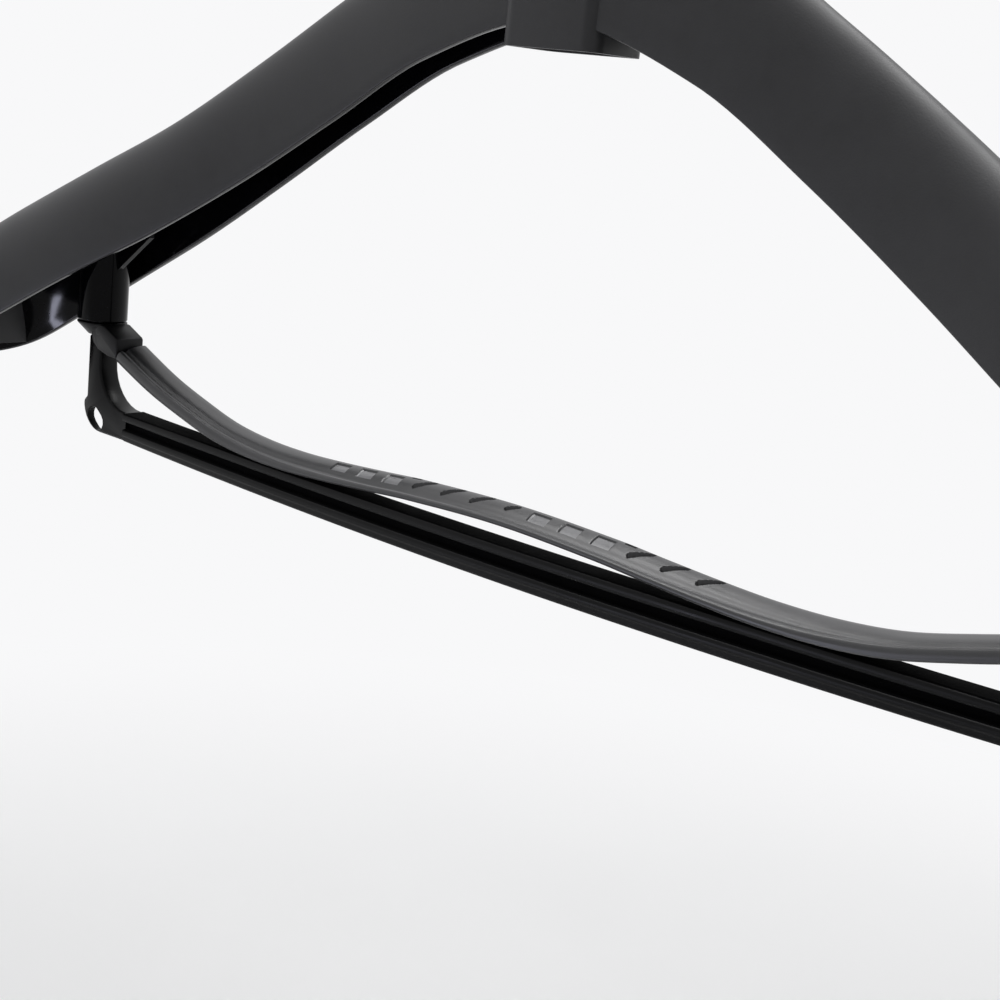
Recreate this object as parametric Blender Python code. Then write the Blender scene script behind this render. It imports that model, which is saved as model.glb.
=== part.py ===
"""Suit hanger with flared shoulders, a fixed trouser bar and a press bar that swings out.

X runs along the bars, Y to the back and Z up. The origin is where the hook rests on
a rail. Heights are worked out upwards from the middle of the trouser bar's top, and
raised() turns them into places under the origin. Sizes are in metres.
"""
import math

import bmesh
import bpy
from mathutils import Matrix, Vector

# Clearances and overruns
fit_gap = 0.0003
snap_gap = 0.00012
cut_overrun = 0.002
weld_distance = 0.00001

# Shoulder moulding: an open-bottomed shell that widens and bends forward at its ends
shoulder_overhang = 0.0624
shoulder_height = 0.1206
section_height = 0.0345
section_half_width = 0.0170
shoulder_sweep = 0.0210
bar_plane = -0.0045
shell_wall = 0.0022
end_rounding = 0.031
end_rise_share = 0.08
arch_exponent = 2.3
# The rows give reach, rim height, section height, half width and forward bend
shoulder_shares = (
    (0.000, 1.000, 0.900, 0.506, 0.000),
    (0.177, 0.910, 0.920, 0.447, 0.000),
    (0.310, 0.767, 0.940, 0.424, 0.005),
    (0.442, 0.614, 0.945, 0.506, 0.057),
    (0.575, 0.462, 0.930, 0.682, 0.210),
    (0.708, 0.325, 0.950, 0.888, 0.380),
    (0.819, 0.201, 0.985, 0.976, 0.580),
    (0.907, 0.099, 1.000, 0.994, 0.810),
    (1.000, 0.028, 1.000, 1.000, 1.000),
)
middle_stations = 14
end_stations = 6
end_turn = math.radians(86)
arch_points = 16
rib_thickness = 0.0016
# The rows give reach and the height of the rib's foot in the section
rib_shares = ((0.27, 0.30), (0.47, 0.30), (0.907, 0.02))

# Neck: a block with a web that the hook hangs in
neck_width = 0.028
neck_depth = 0.0196
neck_rise = 0.00295
neck_skirt = 0.006
neck_corner = 0.004
neck_wall = 0.0025
neck_web = 0.0087

# Posts under the shoulders, which take the trouser bar's stubs
post_reach = 0.1636
post_radius = 0.00725
post_foot = 0.0265
post_bore_depth = 0.022
gusset_length = 0.014
gusset_drop = 0.020

# Trouser bar with its drop arms, elbows and stubs
bar_depth = 0.0084
bar_thickness = 0.0095
elbow_run = 0.0176
bar_top_rise = 0.0020
bar_belly_rise = 0.00315
arm_width = 0.0060
arm_inset = 0.0014
arm_depth = 0.0064
elbow_lip = 0.0015
elbow_radius = 0.0085
fillet_radius = 0.0126
elbow_hole_length = 0.0082
elbow_hole_width = 0.0056
elbow_hole_tilt = math.radians(-38)
elbow_hole_in = 0.0063
elbow_hole_down = 0.0024
elbow_web = 0.0023
elbow_relief_reach = 0.0100
edge_round = 0.0007
sharp_angle = math.radians(32)
stub_radius = 0.0029
barb_radius = 0.0035
barb_tip_radius = 0.0022
barb_height = 0.0036
barb_start_share = 0.72
bar_stations = 24
# Front half of the section: depth from the middle, then height down from the top
bar_section_shares = (
    (0.80, 0.00),
    (0.95, 0.04),
    (1.00, 0.11),
    (1.00, 0.19),
    (0.95, 0.26),
    (0.82, 0.30),
    (0.52, 0.32),
    (0.52, 0.54),
    (0.82, 0.56),
    (0.95, 0.60),
    (1.00, 0.67),
    (0.98, 0.76),
    (0.62, 1.00),
)

# Press bar: a springy strip with an eye at one end and a snap clip at the other
strip_width = 0.0040
strip_thickness = 0.0011
strip_setback = 0.0016
strip_bed = 0.0009
eye_thickness = 0.0037
eye_chamfer = 0.0033
root_depth = 0.0096
root_height = 0.0058
root_seat = 0.0002
lip_depth = 0.0013
lip_recess = 0.0001
lip_end_inset = 0.0016
# Lower edge of the root's front lip, along it and up it
lip_shares = ((0.35, 0.05), (0.72, 0.28), (0.92, 0.62), (1.00, 1.00))
throat_setback = 0.0046
mouth_flare = 0.0015

# Soft grip moulded round the strip, with a bead in front and a tread on its crown
root_length = 0.0143
grip_depth = 0.0090
grip_thickness = 0.0036
press_rise = 0.0235
wave_stations = 48
# Height of the press bar's underside from the middle to the post, by reach
press_wave_shares = (
    (0.000, 0.204),
    (0.183, 0.162),
    (0.275, 0.115),
    (0.367, 0.072),
    (0.458, 0.047),
    (0.550, 0.064),
    (0.642, 0.140),
    (0.733, 0.298),
    (0.819, 0.481),
    (0.914, 0.749),
    (1.000, 1.000),
)
# Section of the grip: depth from the middle towards the back, then height
grip_section_shares = (
    (-0.90, 0.00),
    (-1.00, 0.10),
    (-1.00, 0.42),
    (-0.93, 0.58),
    (-0.80, 0.64),
    (-0.64, 0.60),
    (-0.42, 0.52),
    (-0.25, 0.60),
    (0.00, 0.86),
    (0.25, 0.98),
    (0.50, 1.00),
    (0.72, 0.95),
    (0.90, 0.80),
    (1.00, 0.58),
    (1.00, 0.10),
    (0.90, 0.00),
)
tread_pitch = 0.00964
tread_depth = 0.0006
pocket_length = 0.0056
pocket_width = 0.0034
pocket_setback = 0.0011
slot_length = 0.0064
slot_width = 0.0020
slot_turn = math.radians(50)
slot_setback = 0.0022
nick_length = 0.0034
nick_width = 0.0009
nick_setback = 0.0033
# Marks along the tread: p is a pocket, s a slot, b both a slot and a nick, a a short slot
tread_marks = "pppbssapppbss"
short_slot_share = 0.55

# Hook, and what holds it in the neck
wire_radius = 0.0020
hook_radius = 0.0230
stem_length = 0.0290
stem_bend_radius = 0.0140
hook_mouth_turn = math.radians(232)
hook_start_turn = math.radians(-52)
tip_flare_radius = 0.0120
tip_flare_turn = math.radians(38)
wire_turn_step = math.radians(9)
tip_turn_step = math.radians(20)
tip_steps = 4
gooseneck_steps = 8
collar_radius = 0.0064
collar_height = 0.0046
collar_chamfer = 0.0012
collar_spigot_radius = 0.0045
collar_spigot_length = 0.0030
washer_radius = 0.0046
washer_thickness = 0.0008
nut_across_flats = 0.0070
nut_height = 0.0032
nut_sides = 6
wire_end_below_nut = 0.0010

round_segments = 28
corner_steps = 8
slot_end_steps = 6

# Sizes that follow from the ones above
shoulder_reach = post_reach + shoulder_overhang
neck_top = shoulder_height + section_height * shoulder_shares[0][2] + neck_rise
neck_height = neck_top - shoulder_height + neck_skirt
bar_straight = post_reach - elbow_run
grip_reach = post_reach - root_length
rail_height = neck_top + stem_length + hook_radius + hook_radius - wire_radius
arm_top = post_foot - fit_gap - eye_thickness - fit_gap
eye_bottom = arm_top + fit_gap
wire_bore = wire_radius + fit_gap
stub_bore = stub_radius + fit_gap
web_bottom = neck_top - neck_web
nut_top = web_bottom - fit_gap - washer_thickness - fit_gap
nut_bottom = nut_top - nut_height
arm_swing_radius = math.hypot(arm_width / 2 + arm_inset, arm_depth / 2) + fit_gap


def raised(height):
    """Height above the trouser bar's middle, as a Z place under the rail."""
    return height - rail_height


def eased(table, share):
    """Reads a table by its first column, along a smooth curve through its rows."""
    last = len(table) - 1
    row = 0
    while row < last - 1 and share > table[row + 1][0]:
        row += 1
    low, high = table[row], table[row + 1]
    before = table[max(row - 1, 0)]
    after = table[min(row + 2, last)]
    span = high[0] - low[0]
    t = min(max((share - low[0]) / span, 0.0), 1.0)
    values = []
    for column in range(1, len(low)):
        slope_low = (high[column] - before[column]) / (high[0] - before[0]) * span
        slope_high = (after[column] - low[column]) / (after[0] - low[0]) * span
        if row == 0:
            slope_low = 0.0
        values.append(
            low[column] * (1 + 2 * t) * (1 - t) ** 2
            + slope_low * t * (1 - t) ** 2
            + high[column] * t * t * (3 - 2 * t)
            + slope_high * t * t * (t - 1)
        )
    return values


# Blender helpers


def clear_scene():
    for thing in list(bpy.data.objects):
        bpy.data.objects.remove(thing, do_unlink=True)


def plastic(name, color, roughness, metallic=0.0):
    """A Principled BSDF material with one colour."""
    material = bpy.data.materials.new(name)
    material.use_nodes = True
    shader = material.node_tree.nodes["Principled BSDF"]
    shader.inputs["Base Color"].default_value = (*color, 1.0)
    shader.inputs["Roughness"].default_value = roughness
    shader.inputs["Metallic"].default_value = metallic
    material.diffuse_color = (*color, 1.0)
    return material


def place(name, solid, material=None, pivot=(0, 0, 0)):
    """Makes an object of a finished bmesh, with its faces outwards and its origin at a pivot."""
    bmesh.ops.recalc_face_normals(solid, faces=solid.faces)
    bmesh.ops.translate(solid, verts=solid.verts, vec=-Vector(pivot))
    mesh = bpy.data.meshes.new(name)
    solid.to_mesh(mesh)
    solid.free()
    mesh.shade_smooth()
    mesh.set_sharp_from_angle(angle=sharp_angle)
    thing = bpy.data.objects.new(name, mesh)
    thing.location = pivot
    bpy.context.scene.collection.objects.link(thing)
    if material:
        mesh.materials.append(material)
    return thing


def as_guide(tool):
    """Keeps a tool out of the model, as a wire."""
    tool.hide_render = True
    tool.display_type = "WIRE"
    return tool


def combine(target, tools, operation):
    """Adds one Boolean of several tools, which stay as guides in a collection."""
    group = bpy.data.collections.new(target.name + " " + operation.lower())
    for tool in tools:
        group.objects.link(as_guide(tool))
    change = target.modifiers.new(operation.lower(), "BOOLEAN")
    change.operation = operation
    change.solver = "EXACT"
    change.operand_type = "COLLECTION"
    change.collection = group


def cut(target, *tools):
    combine(target, tools, "DIFFERENCE")


def merge(target, *tools):
    combine(target, tools, "UNION")


def keep_inside(target, tool):
    """Trims a target to what lies inside one tool."""
    change = target.modifiers.new("trim", "BOOLEAN")
    change.operation = "INTERSECT"
    change.solver = "EXACT"
    change.object = as_guide(tool)
    return target


def loft(rings):
    """Bridges closed rings of points into one capped solid."""
    solid = bmesh.new()
    loops = []
    for ring in rings:
        corners = [solid.verts.new(point) for point in ring]
        loops.append([solid.edges.new((a, b)) for a, b in zip(corners, corners[1:] + corners[:1])])
    for near, far in zip(loops, loops[1:]):
        bmesh.ops.bridge_loops(solid, edges=near + far)
    for end in (loops[0], loops[-1]):
        bmesh.ops.contextual_create(solid, geom=end)
    return solid


def plate(outline, depth, middle):
    """Extrudes an outline of (x, z) points through a depth in Y about a middle."""
    solid = bmesh.new()
    corners = [solid.verts.new((x, middle - depth / 2, z)) for x, z in outline]
    face = solid.faces.new(corners)
    pushed = bmesh.ops.extrude_face_region(solid, geom=[face])["geom"]
    bmesh.ops.translate(
        solid,
        verts=[item for item in pushed if isinstance(item, bmesh.types.BMVert)],
        vec=(0, depth, 0),
    )
    return solid


def turned(profile, segments=round_segments):
    """Spins a closed (radius, height) profile about the Z axis."""
    solid = bmesh.new()
    corners = [solid.verts.new((radius, 0, height)) for radius, height in profile]
    edges = [solid.edges.new((a, b)) for a, b in zip(corners, corners[1:])]
    if min(profile[0][0], profile[-1][0]) > 0:
        edges.append(solid.edges.new((corners[-1], corners[0])))
    bmesh.ops.spin(
        solid,
        geom=corners + edges,
        axis=(0, 0, 1),
        cent=(0, 0, 0),
        steps=segments,
        angle=math.tau,
        use_merge=True,
    )
    bmesh.ops.remove_doubles(solid, verts=solid.verts, dist=weld_distance)
    return solid


def rod(radius, low, high, segments=round_segments):
    """A plain round bar along Z."""
    return turned([(0, low), (radius, low), (radius, high), (0, high)], segments)


def block(low, high):
    """A box between two corners."""
    solid = bmesh.new()
    bmesh.ops.create_cube(solid, size=1)
    size = Vector(high) - Vector(low)
    bmesh.ops.scale(solid, vec=size, verts=solid.verts)
    bmesh.ops.translate(solid, vec=(Vector(high) + Vector(low)) / 2, verts=solid.verts)
    return solid


def arc(center, radius, start, turn, steps):
    """Points along an arc in a plane, both ends included."""
    points = []
    for step in range(steps + 1):
        angle = start + turn * step / steps
        points.append((center[0] + radius * math.cos(angle), center[1] + radius * math.sin(angle)))
    return points


def moved(solid, place_at):
    bmesh.ops.transform(solid, matrix=place_at, verts=solid.verts)
    return solid


def at_post(solid, side):
    """Moves a solid that is drawn about the Z axis to a post."""
    return moved(solid, Matrix.Translation((side * post_reach, bar_plane, 0)))


def rounded(thing):
    """Rounds a moulded piece's sharp edges."""
    rounding = thing.modifiers.new("edges", "BEVEL")
    rounding.width = edge_round
    rounding.segments = 2
    rounding.limit_method = "ANGLE"
    return thing


# Shoulder moulding


def shoulder_section(x, reach):
    """Rim height, arch height, half width and middle of the shoulder at a place along X."""
    share = abs(x) / shoulder_reach
    rim, tall, wide, bend = eased(shoulder_shares, share)
    past = max(abs(x) - (reach - end_rounding), 0.0) / end_rounding
    ending = math.sqrt(max(1.0 - past * past, 0.0))
    height = section_height * tall
    rim_height = shoulder_height * rim + (1.0 - ending) * end_rise_share * height
    middle = -shoulder_sweep * bend
    return rim_height, height, section_half_width * wide, middle, ending


def shoulder_stations(reach):
    """Places along X, closer together where the ends round off."""
    straight = reach - end_rounding
    side = [straight * step / middle_stations for step in range(1, middle_stations + 1)]
    for step in range(1, end_stations + 1):
        side.append(straight + end_rounding * math.sin(end_turn * step / end_stations))
    return [-x for x in reversed(side)] + [0.0] + side


def shoulder_loft(inset, drop):
    """The shoulder as a solid, drawn in by an inset and carried down below its rim."""
    reach = shoulder_reach - inset
    rings = []
    for x in shoulder_stations(reach):
        rim, height, width, middle, ending = shoulder_section(x, reach)
        width = (width - inset) * ending
        height = (height - inset) * ending
        ring = []
        for step in range(arch_points + 1):
            turn = math.pi * step / arch_points
            across = math.copysign(abs(math.cos(turn)) ** (2 / arch_exponent), math.cos(turn))
            up = abs(math.sin(turn)) ** (2 / arch_exponent)
            ring.append((x, middle - width * across, raised(rim + height * up)))
        if drop > 0:
            foot = min(rim - drop, shoulder_height)
            ring.append((x, middle + width, raised(foot)))
            ring.append((x, middle - width, raised(foot)))
        rings.append(ring)
    return loft(rings)


def rib(x, foot_share):
    """A cross rib that fills the shell's section down to its foot."""
    rim, height, width, middle, _ = shoulder_section(x, shoulder_reach)
    return block(
        (x - rib_thickness / 2, middle - width, raised(rim + height * foot_share)),
        (x + rib_thickness / 2, middle + width, raised(rim + height)),
    )


def gusset(side):
    """A thin plate that stays the post against the shell, on its inner side."""
    top = raised(post_foot + section_height + gusset_drop)
    inner = post_reach - post_radius - gusset_length
    low = raised(post_foot + gusset_drop)
    outline = [
        (side * post_reach, low - gusset_length / 2),
        (side * post_reach, top),
        (side * inner, top),
        (side * inner, low + gusset_length / 2),
    ]
    return plate(outline, rib_thickness, bar_plane)


def make_shoulders(material):
    """The shell, its neck, ribs and posts as one moulding."""
    body = place("shoulder_body", shoulder_loft(0.0, 0.0), material)
    merge(body, place("neck block", neck_block()))
    hollow = place("shell hollow", shoulder_loft(shell_wall, cut_overrun))
    cut(body, hollow, place("neck hollow", neck_hollow()))

    inside = place("shell inside", shoulder_loft(shell_wall / 2, shoulder_height))
    fillings = []
    for side in (-1, 1):
        for reach_share, foot_share in rib_shares:
            fillings.append(place("rib", rib(side * reach_share * shoulder_reach, foot_share)))
        fillings.append(place("gusset", gusset(side)))
        post = rod(post_radius, raised(post_foot), raised(post_foot + section_height * 2))
        fillings.append(place("post", at_post(post, side)))
    merge(body, *[keep_inside(filling, inside) for filling in fillings])
    bores = [place("post bore", post_bore(side)) for side in (-1, 1)]
    cut(body, place("hook bore", hook_bore()), *bores)
    return body


def neck_block():
    """A block with rounded corners and flat front and back faces."""
    solid = block(
        (-neck_width / 2, -neck_depth / 2, raised(neck_top - neck_height)),
        (neck_width / 2, neck_depth / 2, raised(neck_top)),
    )
    upright = [edge for edge in solid.edges if abs(edge.verts[0].co.z - edge.verts[1].co.z) > neck_corner]
    bmesh.ops.bevel(
        solid, geom=upright, offset=neck_corner, segments=4, profile=0.5, affect="EDGES", material=-1
    )
    top = raised(neck_top) - weld_distance
    lid = [edge for edge in solid.edges if min(vert.co.z for vert in edge.verts) > top]
    bmesh.ops.bevel(
        solid, geom=lid, offset=neck_wall / 2, segments=3, profile=0.5, affect="EDGES", material=-1
    )
    return solid


def neck_hollow():
    """The room under the neck's web, for the nut and washer."""
    solid = block(
        (
            neck_wall - neck_width / 2,
            neck_wall - neck_depth / 2,
            raised(neck_top - neck_height - cut_overrun),
        ),
        (
            neck_width / 2 - neck_wall,
            neck_depth / 2 - neck_wall,
            raised(web_bottom),
        ),
    )
    upright = [edge for edge in solid.edges if abs(edge.verts[0].co.z - edge.verts[1].co.z) > neck_corner]
    bmesh.ops.bevel(
        solid, geom=upright, offset=neck_wall, segments=3, profile=0.5, affect="EDGES", material=-1
    )
    return solid


def hook_bore():
    """The stepped hole for the hook's wire and the collar's spigot."""
    spigot_bore = collar_spigot_radius + fit_gap
    step = raised(neck_top - collar_spigot_length - fit_gap)
    return turned(
        [
            (0, raised(web_bottom - cut_overrun)),
            (wire_bore, raised(web_bottom - cut_overrun)),
            (wire_bore, step),
            (spigot_bore, step),
            (spigot_bore, raised(neck_top + cut_overrun)),
            (0, raised(neck_top + cut_overrun)),
        ]
    )


def barb_start():
    """Height where the stub's barb catches in the post."""
    return post_foot + post_bore_depth * barb_start_share


def post_bore(side):
    """The hole in a post, with the groove that the stub's barb snaps into."""
    groove = barb_radius + fit_gap
    low = barb_start() - fit_gap
    high = barb_start() + barb_height + fit_gap
    solid = turned(
        [
            (0, raised(post_foot - cut_overrun)),
            (stub_bore, raised(post_foot - cut_overrun)),
            (stub_bore, raised(low)),
            (groove, raised(low)),
            (groove, raised(high)),
            (stub_bore, raised(high + groove - stub_bore)),
            (stub_bore, raised(post_foot + post_bore_depth)),
            (0, raised(post_foot + post_bore_depth + stub_bore)),
        ]
    )
    return at_post(solid, side)


# Trouser bar


def bar_top(x):
    return bar_top_rise * (x / bar_straight) ** 2


def bar_bottom(x):
    return bar_belly_rise * (x / bar_straight) ** 2 - bar_thickness


def bar_ring(x):
    """The bar's ribbed section at a place along X, front half and back half."""
    top, bottom = bar_top(x), bar_bottom(x)
    half = bar_depth / 2
    front = [(-half * wide, raised(top + (bottom - top) * down)) for wide, down in bar_section_shares]
    back = [(-y, z) for y, z in reversed(front)]
    return [(x, bar_plane + y, z) for y, z in front + back]


def arm_outline():
    """Outline of the right drop arm and elbow, in X and Z, from the stub's seat round."""
    inner = post_reach - arm_inset - arm_width / 2
    outer = inner + arm_width
    lip = outer + elbow_lip
    end = bar_straight - cut_overrun
    corner_height = bar_bottom(bar_straight) + elbow_radius
    outline = [(inner, arm_top), (outer, arm_top), (outer, corner_height + elbow_lip)]
    corner_center = (lip - elbow_radius, corner_height)
    outline.extend(arc(corner_center, elbow_radius, 0.0, -math.pi / 2, corner_steps))
    outline.extend([(end, bar_bottom(end)), (end, bar_top(end))])
    fillet_center = (inner - fillet_radius, bar_top(bar_straight) + fillet_radius)
    outline.extend(arc(fillet_center, fillet_radius, -math.pi / 2, math.pi / 2, corner_steps))
    return outline


def mirrored(outline, side):
    points = [(side * x, raised(z)) for x, z in outline]
    return points if side > 0 else list(reversed(points))


def stub(side):
    """The round stub on an arm's top, with its barb."""
    start = barb_start()
    tip = start + barb_height
    solid = turned(
        [
            (0, raised(arm_top - cut_overrun)),
            (stub_radius, raised(arm_top - cut_overrun)),
            (stub_radius, raised(start)),
            (barb_radius, raised(start)),
            (barb_radius, raised(start + barb_height / 4)),
            (barb_tip_radius, raised(tip)),
            (0, raised(tip)),
        ]
    )
    return at_post(solid, side)


def elbow_hole(side):
    """The slanted lightening hole in an elbow."""
    lip = post_reach - arm_inset + arm_width / 2 + elbow_lip
    center = Vector((side * (lip - elbow_hole_in), bar_plane, raised(-elbow_hole_down)))
    half = (elbow_hole_length - elbow_hole_width) / 2
    outline = arc((half, 0), elbow_hole_width / 2, -math.pi / 2, math.pi, slot_end_steps)
    outline += arc((-half, 0), elbow_hole_width / 2, math.pi / 2, math.pi, slot_end_steps)
    solid = plate(outline, bar_depth + cut_overrun, 0.0)
    turn = Matrix.Rotation(side * elbow_hole_tilt, 4, "Y")
    return moved(solid, Matrix.Translation(center) @ turn)


def elbow_relief(side):
    """The step that thins an elbow's corner to a web, at its back."""
    outer = post_reach - arm_inset + arm_width / 2 + elbow_lip + cut_overrun
    inner = outer - cut_overrun - elbow_relief_reach
    front = bar_plane - arm_depth / 2 + elbow_web
    low, high = raised(bar_bottom(0)), raised(bar_bottom(bar_straight) + elbow_radius)
    return block(
        (min(side * inner, side * outer), front, low),
        (max(side * inner, side * outer), front + arm_depth, high),
    )


def make_trouser_bar(material):
    """The lower bar and its two drop arms as one moulding."""
    stations = [
        bar_straight * (2 * step / bar_stations - 1) for step in range(bar_stations + 1)
    ]
    bar = place("trouser_bar", loft([bar_ring(x) for x in stations]), material)
    ends = []
    for side in (-1, 1):
        arm = place("drop arm", plate(mirrored(arm_outline(), side), arm_depth, bar_plane))
        ends.extend([rounded(arm), place("stub", stub(side))])
    merge(bar, *ends)
    thinning = [place("elbow hole", elbow_hole(side)) for side in (-1, 1)]
    thinning += [place("elbow relief", elbow_relief(side)) for side in (-1, 1)]
    cut(bar, *thinning)
    return bar


# Press bar and its grip


def wave(x):
    """Height of the press bar's underside."""
    return press_rise * eased(press_wave_shares, abs(x) / post_reach)[0]


def wave_frame(x):
    """A frame on the wave's underside that leans with its slope."""
    step = cut_overrun
    lean = math.atan2(wave(x + step) - wave(x - step), step + step)
    return Matrix.Translation((x, bar_plane, raised(wave(x)))) @ Matrix.Rotation(-lean, 4, "Y")


def wave_stations_to(reach):
    return [reach * (2 * step / wave_stations - 1) for step in range(wave_stations + 1)]


def strip_loft(reach, growth):
    """The flat strip that stiffens the press bar, grown by a clearance where it is a cutter."""
    half = strip_width / 2 + growth
    low = strip_bed - growth
    high = strip_bed + strip_thickness + growth
    section = [(-half, low), (half, low), (half, high), (-half, high)]
    rings = []
    for x in wave_stations_to(reach):
        frame = wave_frame(x)
        rings.append([frame @ Vector((0, strip_setback + y, z)) for y, z in section])
    return loft(rings)


def press_pivot():
    """A place on the axis that the press bar swings about."""
    return (-post_reach, bar_plane, raised(post_foot))


def root_block(side):
    """The thick root between the strip and the eye or clip."""
    start = grip_reach + fit_gap
    end = post_reach - stub_bore
    flat = post_reach - post_radius
    eye_top = post_foot - fit_gap
    low = wave(start) - root_seat
    outline = [
        (start, low),
        (post_reach - arm_swing_radius, eye_bottom),
        (end, eye_bottom),
        (end, eye_top),
        (flat, eye_top),
        (start, low + root_height),
    ]
    return plate(mirrored(outline, side), root_depth, bar_plane)


def root_lip(side):
    """The thin lip along the root's front, which runs on past the drop arm."""
    start = grip_reach + fit_gap
    low = wave(start) - root_seat
    length = post_reach - lip_end_inset - start
    rise = eye_bottom - low
    outline = [(start, low)]
    outline.extend((start + length * along, low + rise * up) for along, up in lip_shares)
    outline.append((start + length, eye_bottom + eye_chamfer))
    outline.append((post_reach - post_radius, eye_bottom + eye_chamfer))
    middle = bar_plane - (root_depth - lip_depth) / 2 + lip_recess
    return plate(mirrored(outline, side), lip_depth, middle)


def eye_disc(side):
    """The round end that sits under a post, chamfered below."""
    top = raised(post_foot - fit_gap)
    bottom = raised(eye_bottom)
    solid = turned(
        [
            (0, bottom),
            (post_radius - eye_chamfer, bottom),
            (post_radius, bottom + eye_chamfer),
            (post_radius, top),
            (0, top),
        ]
    )
    return at_post(solid, side)


def stub_hole(side):
    solid = rod(stub_bore, raised(arm_top - cut_overrun), raised(post_foot + cut_overrun))
    return at_post(solid, side)


def clip_mouth():
    """The clip's way in, open to the back, with a throat that is tight on the stub."""
    back = post_radius + cut_overrun
    throat = stub_radius + snap_gap
    half = [
        (stub_bore, 0.0),
        (stub_bore, throat_setback - mouth_flare),
        (throat, throat_setback),
        (stub_bore + mouth_flare, back),
    ]
    outline = half + [(-x, y) for x, y in reversed(half)]
    low = raised(arm_top - cut_overrun)
    high = raised(post_foot + cut_overrun)
    solid = plate(outline, high - low, -(low + high) / 2)
    return at_post(moved(solid, Matrix.Rotation(-math.pi / 2, 4, "X")), 1)


def make_press_bar(material):
    """The strip with its eye on the left stub and its clip on the right one."""
    reach = grip_reach + fit_gap + cut_overrun
    bar = place("press_bar", strip_loft(reach, 0.0), material, press_pivot())
    ends = []
    for side in (-1, 1):
        ends.append(rounded(place("press root", root_block(side))))
        ends.append(place("press root lip", root_lip(side)))
        ends.append(place("press eye", eye_disc(side)))
    merge(bar, *ends)
    holes = [place("stub hole", stub_hole(side)) for side in (-1, 1)]
    cut(bar, place("clip mouth", clip_mouth()), *holes)
    return bar


def grip_ring(x):
    frame = wave_frame(x)
    half = grip_depth / 2
    return [frame @ Vector((0, half * y, grip_thickness * z)) for y, z in grip_section_shares]


def crown_cutter(x, y, size, turn, round_ends):
    """A tool that sinks a mark of a given length and width into the crown."""
    length, width = size
    floor = grip_thickness - tread_depth
    if round_ends:
        half = (length - width) / 2
        outline = arc((half, 0), width / 2, -math.pi / 2, math.pi, slot_end_steps)
        outline += arc((-half, 0), width / 2, math.pi / 2, math.pi, slot_end_steps)
    else:
        outline = [
            (-length / 2, -width / 2),
            (length / 2, -width / 2),
            (length / 2, width / 2),
            (-length / 2, width / 2),
        ]
    solid = plate(outline, tread_depth + cut_overrun, -(tread_depth + cut_overrun) / 2)
    lay_flat = Matrix.Rotation(-math.pi / 2, 4, "X")
    spot = Matrix.Translation((0, y, floor)) @ Matrix.Rotation(turn, 4, "Z")
    return moved(solid, wave_frame(x) @ spot @ lay_flat)


def tread_cutters():
    """Pockets and slots along the crown, in the order of the marks."""
    cutters = []
    middle = (len(tread_marks) - 1) / 2
    for number, mark in enumerate(tread_marks):
        x = tread_pitch * (number - middle)
        if mark == "p":
            size = (pocket_length, pocket_width)
            cutters.append(crown_cutter(x, pocket_setback, size, 0.0, False))
            continue
        length = slot_length * (short_slot_share if mark == "a" else 1.0)
        cutters.append(crown_cutter(x, slot_setback, (length, slot_width), slot_turn, True))
        if mark == "b":
            size = (nick_length, nick_width)
            cutters.append(crown_cutter(x - nick_length, nick_setback, size, 0.0, True))
    return [place("tread mark", cutter) for cutter in cutters]


def make_grip(material):
    """The soft jacket round the strip."""
    rings = [grip_ring(x) for x in wave_stations_to(grip_reach)]
    grip = place("press_bar_grip", loft(rings), material, press_pivot())
    cut(grip, place("strip channel", strip_loft(grip_reach + cut_overrun, fit_gap)))
    cut(grip, *tread_cutters())
    return grip


# Hook and neck fittings


def hook_path():
    """Points of the wire's middle line in X and Z: end, stem, gooseneck, bow and tip."""
    bow_center = (0.0, raised(neck_top + stem_length + hook_radius))
    wire_end = raised(nut_bottom - wire_end_below_nut)
    start = hook_start_turn
    steps = round(hook_mouth_turn / wire_turn_step)
    bow = arc(bow_center, hook_radius, start, hook_mouth_turn, steps)
    entry = Vector((math.cos(start), math.sin(start)))
    bow_start = Vector(bow[0])
    along = Vector((-entry.y, entry.x))
    stem_top = Vector((0.0, bow_start.y - bow_start.x - stem_bend_radius / 2))
    gooseneck = []
    reach = (bow_start - stem_top).length
    for step in range(1, gooseneck_steps):
        t = step / gooseneck_steps
        point = (
            stem_top * (1 + 2 * t) * (1 - t) ** 2
            + Vector((0.0, reach)) * t * (1 - t) ** 2
            + bow_start * t * t * (3 - 2 * t)
            + along * reach * t * t * (t - 1)
        )
        gooseneck.append((point.x, point.y))
    last = start + hook_mouth_turn
    flare_center = (
        bow_center[0] + (hook_radius + tip_flare_radius) * math.cos(last),
        bow_center[1] + (hook_radius + tip_flare_radius) * math.sin(last),
    )
    flare = arc(flare_center, tip_flare_radius, last + math.pi, -tip_flare_turn, corner_steps)
    return [(0.0, wire_end), (0.0, stem_top.y)] + gooseneck + bow + flare[1:]


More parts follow.
